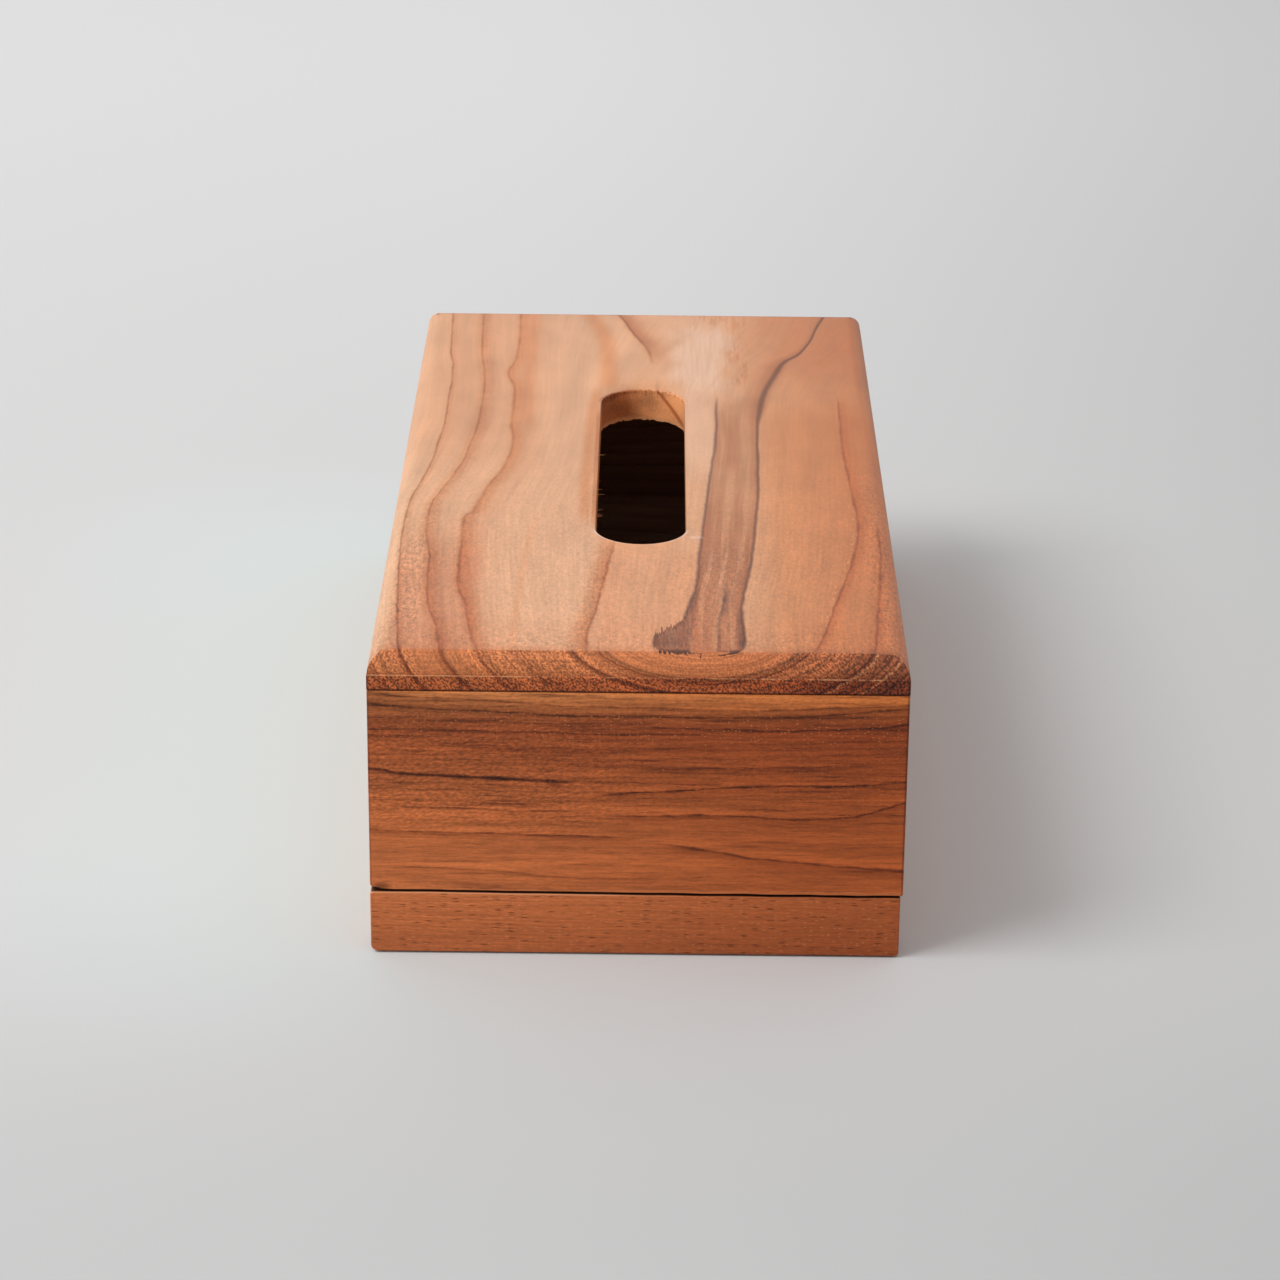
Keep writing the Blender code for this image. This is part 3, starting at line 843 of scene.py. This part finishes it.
def makeWallWood(name):
    grain = wallGrain[name]
    wood = Finish(bpy.data.materials.new(name))
    x, y, z = wood.millimetres()
    normal = wood.facing()
    along, side, facing = (y, x, abs(normal[1])) if grain["along"] == "y" else (x, y, abs(normal[0]))
    if name == "baseWood":
        high, wide = x, z
    else:
        high, wide = z, side
    shift = grain["shift"]
    heartHigh, heartWide = grain["heart"]
    sway = wood.cloud(along * 0.009 + shift, high * 0.012, wide * 0.02) * 17
    up = high - heartHigh + sway
    out = wide + heartWide + wood.cloud(along * 0.006, shift, high * 0.008) * 12
    radius = wood.maths("SQRT", up * up + out * out)
    tremble = wood.cloud(along * 0.15, high * 0.9, wide * 0.9, detail=3)
    rings = (radius + tremble * 0.5 + wood.cloud(radius * 0.12, shift, 0) * 7) / grain["spacing"]
    ring = wood.maths("FRACT", rings)
    number = wood.maths("FLOOR", rings)
    luck = wood.cloud(number * 0.73, shift, 0) + 0.5
    late = wood.fade(ring, 0.3, 0.92) * wood.fade(ring, 1.0, 0.9) * (0.35 + luck * 0.6)
    line = wood.fade(ring, 0.84, 0.93) * wood.fade(ring, 1.0, 0.94) * wood.fade(luck, 0.38, 0.7)
    coat = Coat(wood, wallTones, wood.mix(late, wallTones["early"], wallTones["late"]))
    coat.cover(line * 0.75, "line")
    fibre = wood.cloud(along * 0.03, high * 1.5, wide * 1.5, detail=3, roughness=0.65)
    broad = wood.cloud(along * 0.01, high * 0.07, wide * 0.1 + shift)
    coat.shade(1 + fibre * 0.7 + broad * 0.5)
    dash = wood.dashes(along * 0.4, high * 1.9, wide * 1.9, 0.4)
    speck = wood.cloud(along * 0.5, high * 1.6, wide * 1.6, detail=2, roughness=0.7)
    coat.shade(1 + speck * (0.3 + line * 0.8))
    coat.stain(dash * 0.3, "poreTint")
    endGrain = wood.fade(facing, 0.4, 0.9)
    dot = wood.cloud(along * 0.8, high * 1.8, wide * 1.8, detail=2)
    ends = Coat(wood, wallTones, wallTones["end"])
    ends.cover(late * 0.6, "line")
    ends.shade(1 + dot * 1.6)
    coat.join(endGrain, ends)
    axis, way = grain["inward"]
    # painted shade: inner faces take a greyed tone, as a stand-in for the dim inside of the box
    inner = wood.fade(normal[axis] * way, 0.4, 0.8) * wallTones["greyedInsideShare"]
    greyedInside = Coat(wood, wallTones, wallTones["baseInside" if name == "baseWood" else "inside"])
    greyedInside.shade(1.04 + fibre * 0.5 - late * 0.22 - line * 0.2)
    coat.join(inner, greyedInside)
    relief = fibre * 0.4 + speck * 0.4 - dash * 0.6 + endGrain * dot - line * 0.3
    return coat.finished(speck * 0.12, relief)


dowelGrain = {"pale": tint(214, 184, 140), "dark": tint(176, 140, 98), "roughness": 0.6}


def makeDowelWood():
    wood = Finish(bpy.data.materials.new("dowelWood"))
    x, y, z = wood.millimetres()
    fibre = wood.cloud(x * 2.2, y * 0.12, z * 2.2, detail=3, roughness=0.6)
    colour = wood.mix(wood.fade(fibre, -0.25, 0.3), dowelGrain["pale"], dowelGrain["dark"])
    return wood.surface(
        Base_Color=colour,
        Roughness=dowelGrain["roughness"],
        Normal=wood.bump(fibre, 0.3, 0.1),
    )


fibreLook = {"tone": tint(238, 194, 146), "dark": tint(196, 136, 90)}


def makeFibreWood():
    wood = Finish(bpy.data.materials.new("splinterWood"))
    x, y, z = wood.millimetres()
    tone = wood.mix(wood.cloud(x, y, z) + 0.5, fibreLook["tone"], fibreLook["dark"])
    return wood.surface(Base_Color=tone, Roughness=0.6)


finishes = {
    "top": makeTopWood(),
    "front": makeFrontWood(),
    "strip": makeStripWood(),
    "left": makeWallWood("leftWallWood"),
    "right": makeWallWood("rightWallWood"),
    "back": makeWallWood("backWood"),
    "base": makeWallWood("baseWood"),
    "dowel": makeDowelWood(),
    "splinter": makeFibreWood(),
}
print("finishes made:", ", ".join(finishes))


# Shapes

def newPiece(name, bm, finish, smoothUnder=40):
    mesh = bpy.data.meshes.new(name)
    bm.to_mesh(mesh)
    bm.free()
    mesh.materials.append(finish)
    mesh.shade_smooth()
    mesh.set_sharp_from_angle(angle=math.radians(smoothUnder))
    piece = bpy.data.objects.new(name, mesh)
    bpy.context.scene.collection.objects.link(piece)
    return piece


def standIn(piece, node, body):
    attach(piece, body)
    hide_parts(node)
    return piece


def waver(along, seed, size):
    # a small, smooth unevenness along a board
    return noise.noise(Vector((along, seed, 0))) * size


topBoard = {
    "roundOver": 5.0,
    "roundOverSteps": 14,
    "routerStep": 0.14,  # the round-over starts this far inside the board's face
    "slotLength": 122.0,
    "slotWidth": 23.5,
    "slotSetBack": 1.0,
    "slotEase": 0.35,
    "slotEaseSteps": 3,
    "slotWallRings": (0.35, 0.7),
    "chipping": 0.7,  # how far fibres have torn out of the slot's lower rim
    "arcSteps": 56,
    "straightSteps": 84,
    "lowerEase": 0.2,
    "faceRings": (0.3, 0.65),
    "unevenness": 0.06,
}


def makeTopBoard():
    look = topBoard
    low, high = [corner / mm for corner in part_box("top_panel")]
    top, bottom = high.z, low.z
    radius = look["slotWidth"] / 2
    straight = look["slotLength"] / 2 - radius
    arc, side = look["arcSteps"], look["straightSteps"]

    def slotRing(grow, z):
        ring = []
        for end in (-1, 1):
            for step in range(arc):
                turn = math.pi * step / arc
                across = end * math.cos(turn) * (radius + grow)
                along = end * (straight + math.sin(turn) * (radius + grow))
                ring.append(Vector((across, along + look["slotSetBack"], z)))
            for step in range(side):
                along = end * straight * (1 - 2 * step / side)
                ring.append(Vector((-end * (radius + grow), along + look["slotSetBack"], z)))
        return ring

    def boardRing(inset, z):
        ring = []
        for end in (-1, 1):
            for step in range(arc):
                across = end * (high.x - inset) * (1 - 2 * step / arc)
                ring.append(Vector((across, end * (high.y - inset), z)))
            for step in range(side):
                along = end * (high.y - inset) * (1 - 2 * step / side)
                ring.append(Vector((-end * (high.x - inset), along, z)))
        return ring

    rings = []
    rim = slotRing(0, bottom)
    for spot in rim:
        torn = max(0, noise.noise(spot * 0.9) + 0.4 * noise.noise(spot * 2.7)) * look["chipping"]
        spot.z += torn
        spot.y += torn * 0.5 * (1 if spot.y > 0 else -1)
    rings.append(rim)
    for share in look["slotWallRings"]:
        rings.append(slotRing(0, bottom + (top - bottom) * share))
    for step in range(look["slotEaseSteps"] + 1):
        turn = math.pi / 2 * step / look["slotEaseSteps"]
        grow = look["slotEase"] * (1 - math.cos(turn))
        rings.append(slotRing(grow, top - look["slotEase"] * (1 - math.sin(turn))))
    slotTop = slotRing(look["slotEase"], top)
    faceEdge = boardRing(look["roundOver"] + look["routerStep"], top)
    for share in look["faceRings"]:
        between = [a.lerp(b, share) for a, b in zip(slotTop, faceEdge)]
        for spot in between:
            spot.z -= abs(waver(spot.y * 0.02, spot.x * 0.03, look["unevenness"]))
        rings.append(between)
    for step in range(look["roundOverSteps"] + 1):
        turn = math.pi / 2 * step / look["roundOverSteps"]
        inset = look["routerStep"] + look["roundOver"] * (1 - math.sin(turn))
        rings.append(boardRing(inset, top - look["roundOver"] * (1 - math.cos(turn))))
    rings.append(boardRing(0, top - look["roundOver"] - look["routerStep"]))
    rings.append(boardRing(0, bottom + look["lowerEase"]))
    rings.append(boardRing(look["lowerEase"], bottom))
    rings.append([a.lerp(b, 0.8) for a, b in zip(boardRing(0, bottom), slotRing(0, bottom))])

    bm = bmesh.new()
    loops = [[bm.verts.new(spot * mm) for spot in ring] for ring in rings]
    count = len(rim)
    for this, following in zip(loops, loops[1:] + loops[:1]):
        for i in range(count):
            j = (i + 1) % count
            bm.faces.new((this[i], this[j], following[j], following[i]))
    bmesh.ops.recalc_face_normals(bm, faces=bm.faces)
    piece = newPiece("topBoard", bm, finishes["top"], smoothUnder=32)
    return standIn(piece, "top_panel", "box")


def boardFrom(node):
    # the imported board's own shape, welded, with each flat face in one piece again
    bm = bmesh.new()
    bm.from_mesh(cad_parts[node].data)
    bmesh.ops.remove_doubles(bm, verts=bm.verts, dist=0.01 * mm)
    bmesh.ops.dissolve_limit(bm, angle_limit=math.radians(1), verts=bm.verts, edges=bm.edges)
    return bm


def easeEdges(bm, width, steps, chosen):
    # chosen says yes to an edge from its middle and its direction, both in millimetres
    edges = []
    for edge in bm.edges:
        a, b = [vert.co / mm for vert in edge.verts]
        if edge.calc_face_angle(0) > math.radians(60) and chosen((a + b) / 2, (b - a).normalized()):
            edges.append(edge)
    roundEdges(bm, edges, width, steps)


def roundEdges(bm, edges, width, steps):
    bmesh.ops.bevel(
        bm,
        geom=edges,
        offset=width * mm,
        segments=steps,
        profile=0.5,
        affect="EDGES",
        clamp_overlap=True,
    )


def addLoops(bm, axis, step):
    # cuts across the board, so that its edges can waver
    along = [vert.co[axis] / mm for vert in bm.verts]
    direction = Vector([float(i == axis) for i in range(3)])
    place = math.floor(min(along) / step + 1) * step
    while place < max(along) - step / 4:
        everything = bm.verts[:] + bm.edges[:] + bm.faces[:]
        bmesh.ops.bisect_plane(bm, geom=everything, plane_co=direction * place * mm, plane_no=direction)
        place += step


frontBoard = {
    "lowerEase": 0.3,
    "upperEase": 0.2,
    "loopStep": 2.0,
    "waver": 0.16,
    "slope": -0.0035,  # how the lower edge falls to the right
    "lipWaver": 0.1,
    "notchReach": 4.2,  # the bruised corner at the seam's left end
    "notchRise": 1.0,
}


def seamShift(x):
    # the seam between front board and strip falls a little to the right, and wavers
    return x * frontBoard["slope"] + waver(x * 0.09, 4.2, frontBoard["waver"])


def makeFrontBoard():
    look = frontBoard
    low, high = [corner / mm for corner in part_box("front_panel")]
    bm = boardFrom("front_panel")
    nearFace = low.y + 1
    easeEdges(bm, look["lowerEase"], 2, lambda m, d: abs(m.z - low.z) < 0.1 and m.y < nearFace)
    easeEdges(bm, look["upperEase"], 2, lambda m, d: abs(m.z - high.z) < 0.1 and m.y < nearFace)
    addLoops(bm, 0, look["loopStep"])
    for vert in bm.verts:
        x, y, z = vert.co / mm
        if z < low.z + 1:
            lift = seamShift(x) + waver(x * 0.21, 9.1, look["lipWaver"])
            corner = max(0, 1 - (x - low.x) / look["notchReach"])
            if y < low.y + 4:
                lift += look["notchRise"] * corner ** 1.5
            vert.co.z += lift * mm
    piece = newPiece("frontBoard", bm, finishes["front"])
    return standIn(piece, "front_panel", "box")


baseStrip = {
    "ease": 0.9,
    "easeSteps": 5,
    "corners": {  # how far each outer corner is rounded
        "lowerLeft": 1.6,
        "lowerRight": 0.8,
        "upperLeft": 0.9,
        "upperRight": 0.5,
    },
    "loopStep": 2.0,
    "glueLine": 0.2,
}


def makeBlock(low, high):
    bm = bmesh.new()
    bmesh.ops.create_cube(bm, size=1.0, matrix=Matrix.Diagonal((high - low) * mm).to_4x4())
    bmesh.ops.translate(bm, verts=bm.verts, vec=(low + high) / 2 * mm)
    return bm


def makeBaseStrip():
    look = baseStrip
    low, high = [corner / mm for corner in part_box("base_strip")]
    bm = makeBlock(low, high)
    for corner, width in look["corners"].items():
        z = low.z if corner.startswith("lower") else high.z
        x = low.x if corner.endswith("Left") else high.x
        easeEdges(
            bm, width, look["easeSteps"],
            lambda m, d: abs(d.y) > 0.9 and abs(m.x - x) < 0.01 and abs(m.z - z) < 0.01,
        )
    edges = [edge for edge in bm.edges if all(vert.co.y / mm < low.y + 0.01 for vert in edge.verts)]
    roundEdges(bm, edges, look["ease"], look["easeSteps"])
    addLoops(bm, 0, look["loopStep"])
    for vert in bm.verts:
        x, y, z = vert.co / mm
        if z > high.z - 2:
            vert.co.z += seamShift(x) * mm
    piece = newPiece("baseStrip", bm, finishes["strip"])
    boardLow, boardHigh = [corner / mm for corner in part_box("base_board")]
    gap = Vector((1, 1, 1)) * look["glueLine"]
    rebate = newPiece("rebateCutter", makeBlock(boardLow - gap, boardHigh + gap), finishes["strip"])
    cut = piece.modifiers.new("Rebate", "BOOLEAN")
    cut.operation = "DIFFERENCE"
    cut.object = rebate
    bpy.context.view_layer.update()
    graph = bpy.context.evaluated_depsgraph_get()
    piece.data = bpy.data.meshes.new_from_object(piece.evaluated_get(graph))
    piece.modifiers.clear()
    bpy.data.objects.remove(rebate)
    piece.data.set_sharp_from_angle(angle=math.radians(40))
    return standIn(piece, "base_strip", "sliding_base")


wallBoards = {
    "backBoard": {"node": "back_panel", "finish": "back", "ease": 0.4},
    "leftBoard": {"node": "left_side_panel", "finish": "left", "ease": 0.4},
    "rightBoard": {"node": "right_side_panel", "finish": "right", "ease": 0.4},
    "baseBoard": {"node": "base_board", "finish": "base", "ease": 0.3},
}


def makeWallBoards():
    for name, look in wallBoards.items():
        isBase = name == "baseBoard"
        body, slotName = ("sliding_base", "base_board") if isBase else ("box", "wall_board")
        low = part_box(look["node"])[0] / mm
        bm = boardFrom(look["node"])

        def outer(m, d):
            # the lower outer edges of a wall, and every edge of the base board
            if isBase:
                return True
            if abs(m.z - low.z) > 0.1:
                return False
            return abs(m.x) > 64.9 if name != "backBoard" else m.y > 135.9

        easeEdges(bm, look["ease"], 2, outer)
        piece = newPiece(name, bm, finishes[look["finish"]])
        standIn(piece, look["node"], body)


splinters = {
    "seed": 11,
    "thickness": 0.22,
    "sides": 3,
    "left": {"count": 9, "span": (-42, 10), "reach": (0.8, 2.4), "depth": (3.6, 1.0)},
    "front": {"count": 5, "span": (-9, 9), "reach": (0.4, 1.0)},
    "back": {"count": 6, "span": (-9, 8), "reach": (0.4, 0.9)},
}


def addSplinter(bm, root, tip, sag, thick):
    # a tapered hair, bent once on its way
    middle = (root + tip) / 2 + Vector((0, 0, sag))
    rings = []
    for spot, width in ((root, thick), (middle, thick * 0.7)):
        ring = []
        for k in range(splinters["sides"]):
            turn = 2 * math.pi * k / splinters["sides"]
            offset = Vector((math.cos(turn) * 0.3, math.cos(turn), math.sin(turn))) * width / 2
            ring.append(bm.verts.new((spot + offset) * mm))
        rings.append(ring)
    end = bm.verts.new(tip * mm)
    bm.faces.new(rings[0])
    for k in range(splinters["sides"]):
        j = (k + 1) % splinters["sides"]
        bm.faces.new((rings[0][k], rings[0][j], rings[1][j], rings[1][k]))
        bm.faces.new((rings[1][k], rings[1][j], end))


def makeSplinters():
    look = splinters
    draw = random.Random(look["seed"])
    low, high = [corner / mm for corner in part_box("top_panel")]
    half = topBoard["slotWidth"] / 2
    straight = topBoard["slotLength"] / 2 - half
    bm = bmesh.new()
    deepest, highest = look["left"]["depth"]
    for k in range(look["left"]["count"]):
        y = draw.uniform(*look["left"]["span"])
        z = draw.uniform(high.z - deepest, high.z - highest)
        root = Vector((-half - 0.1, y, z))
        reach = draw.uniform(*look["left"]["reach"])
        tip = root + Vector((reach, draw.uniform(-0.9, 0.9), draw.uniform(-0.5, 0.7)))
        addSplinter(bm, root, tip, draw.uniform(-0.1, 0.3), look["thickness"])
    for name, end in (("front", -1), ("back", 1)):
        for k in range(look[name]["count"]):
            x = draw.uniform(*look[name]["span"])
            edge = math.sqrt(half * half - x * x)
            y = end * (straight + edge + 0.1) + topBoard["slotSetBack"]
            root = Vector((x, y, low.z + draw.uniform(0.5, 1.5)))
            reach = draw.uniform(*look[name]["reach"])
            tip = root + Vector((draw.uniform(-0.3, 0.3), -end * reach, draw.uniform(-0.4, 0.2)))
            addSplinter(bm, root, tip, 0.1, look["thickness"])
    bmesh.ops.recalc_face_normals(bm, faces=bm.faces)
    piece = newPiece("slotSplinters", bm, finishes["splinter"])
    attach(piece, "box")


makeTopBoard()
makeFrontBoard()
makeBaseStrip()
makeWallBoards()
makeSplinters()
for name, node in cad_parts.items():
    if name.endswith("dowel"):
        node.data.materials.clear()
        node.data.materials.append(finishes["dowel"])
print("boards made")


# Stage: pale floor, under one broad soft lamp and a soft sky; its paint is brighter on the left and far away
# and darker in front, as painted light and shade

stage = {
    "floorRadius": 9.0,
    "leftTone": 0.745,
    "rightTone": 0.555,
    "toneSpan": (-90, 400),  # x over which the floor goes from one to the other
    "frontShade": 0.84,
    "frontSpan": (-290, -60),
    "farPaintedLight": (0.10, 0.18),  # how much lighter the floor is painted far away, on the left and on the right, as painted light
    "farSpan": (200, 840),
    "paintedLightBeside": 0.13,  # painted light beside the box's left wall, in green and blue
    "paintedLightBesideSpan": (-210, -75),
    "skyStrength": 0.575,
    "seenSky": 0.86,
    "lampFrom": (-0.60, -0.24, 0.76),
    "lampDistance": 4.0,
    "lampSize": 2.0,
    "lampPower": 79.0,
}


def makeFloor():
    bm = bmesh.new()
    bmesh.ops.create_circle(bm, cap_ends=True, segments=96, radius=stage["floorRadius"])
    finish = Finish(bpy.data.materials.new("floorPaint"))
    x, y = finish.millimetres()[:2]
    # painted light and shade: the floor's tone falls to the right and toward the front, and rises far away
    right = finish.fade(x, *stage["toneSpan"])
    tone = stage["leftTone"] * (1 - right) + stage["rightTone"] * right
    tone = tone * (stage["frontShade"] + (1 - stage["frontShade"]) * finish.fade(y, *stage["frontSpan"]))
    leftLift, rightLift = stage["farPaintedLight"]
    tone = tone * (1 + finish.fade(y, *stage["farSpan"]) * (leftLift + right * (rightLift - leftLift)))
    # painted light: green and blue lifted beside the box's left wall, against its shade and pink bounce
    beside = finish.fade(x, *stage["paintedLightBesideSpan"]) * finish.fade(x, 60, -60) * finish.between(y, -150, 170, 70)
    paintedLift = 1 + beside * stage["paintedLightBeside"]
    paint = finish.place(tone, tone * paintedLift, tone * paintedLift)
    material = finish.surface(Base_Color=paint, Roughness=0.9)
    floor = newPiece("floor", bm, material)


def makeWorld():
    world = bpy.data.worlds.new("sky")
    bpy.context.scene.world = world
    sky = Finish(world)
    ray = sky.node("ShaderNodeLightPath")
    rays = {socket.name: Wire(sky, socket) for socket in ray.socket.node.outputs}
    dx, dy = sky.split(sky.node("ShaderNodeTexCoord", out="Generated"))[:2]
    glow = stage["skyStrength"] * (1 + 0.25 * dy - 0.15 * dx)
    seen = sky.larger(rays["Is Camera Ray"], sky.larger(rays["Is Glossy Ray"], rays["Is Transmission Ray"]))
    strength = seen * stage["seenSky"] + (1 - seen) * glow
    back = sky.node("ShaderNodeBackground", links={"Color": (1, 1, 1), "Strength": strength})
    sky.node("ShaderNodeOutputWorld", links={"Surface": back})


def makeLamp():
    lamp = bpy.data.lights.new("softbox", "AREA")
    lamp.shape = "SQUARE"
    lamp.size = stage["lampSize"]
    lamp.energy = stage["lampPower"]
    holder = bpy.data.objects.new("softbox", lamp)
    bpy.context.scene.collection.objects.link(holder)
    direction = Vector(stage["lampFrom"]).normalized()
    holder.location = direction * stage["lampDistance"]
    holder.rotation_euler = direction.to_track_quat("Z", "Y").to_euler()


camera = {
    "place": (0.0024665, -1.0130956, 0.4441563),
    "lens": 112.312,
    "pitch": 0.38995,
    "yaw": 0.0025,
    "roll": 0.0096,
}


def makeCamera():
    data = bpy.data.cameras.new("camera")
    data.lens = camera["lens"]
    data.sensor_width = 36
    data.clip_end = 50
    eye = bpy.data.objects.new("camera", data)
    bpy.context.scene.collection.objects.link(eye)
    turn = Matrix.Rotation(camera["yaw"], 4, "Z")
    tilt = Matrix.Rotation(math.pi / 2 - camera["pitch"], 4, "X")
    roll = Matrix.Rotation(camera["roll"], 4, "Z")
    eye.matrix_world = Matrix.Translation(camera["place"]) @ turn @ tilt @ roll
    bpy.context.scene.camera = eye


makeFloor()
makeWorld()
makeLamp()
makeCamera()
bpy.context.scene.view_settings.view_transform = "Standard"
print("stage, lamp and camera set")
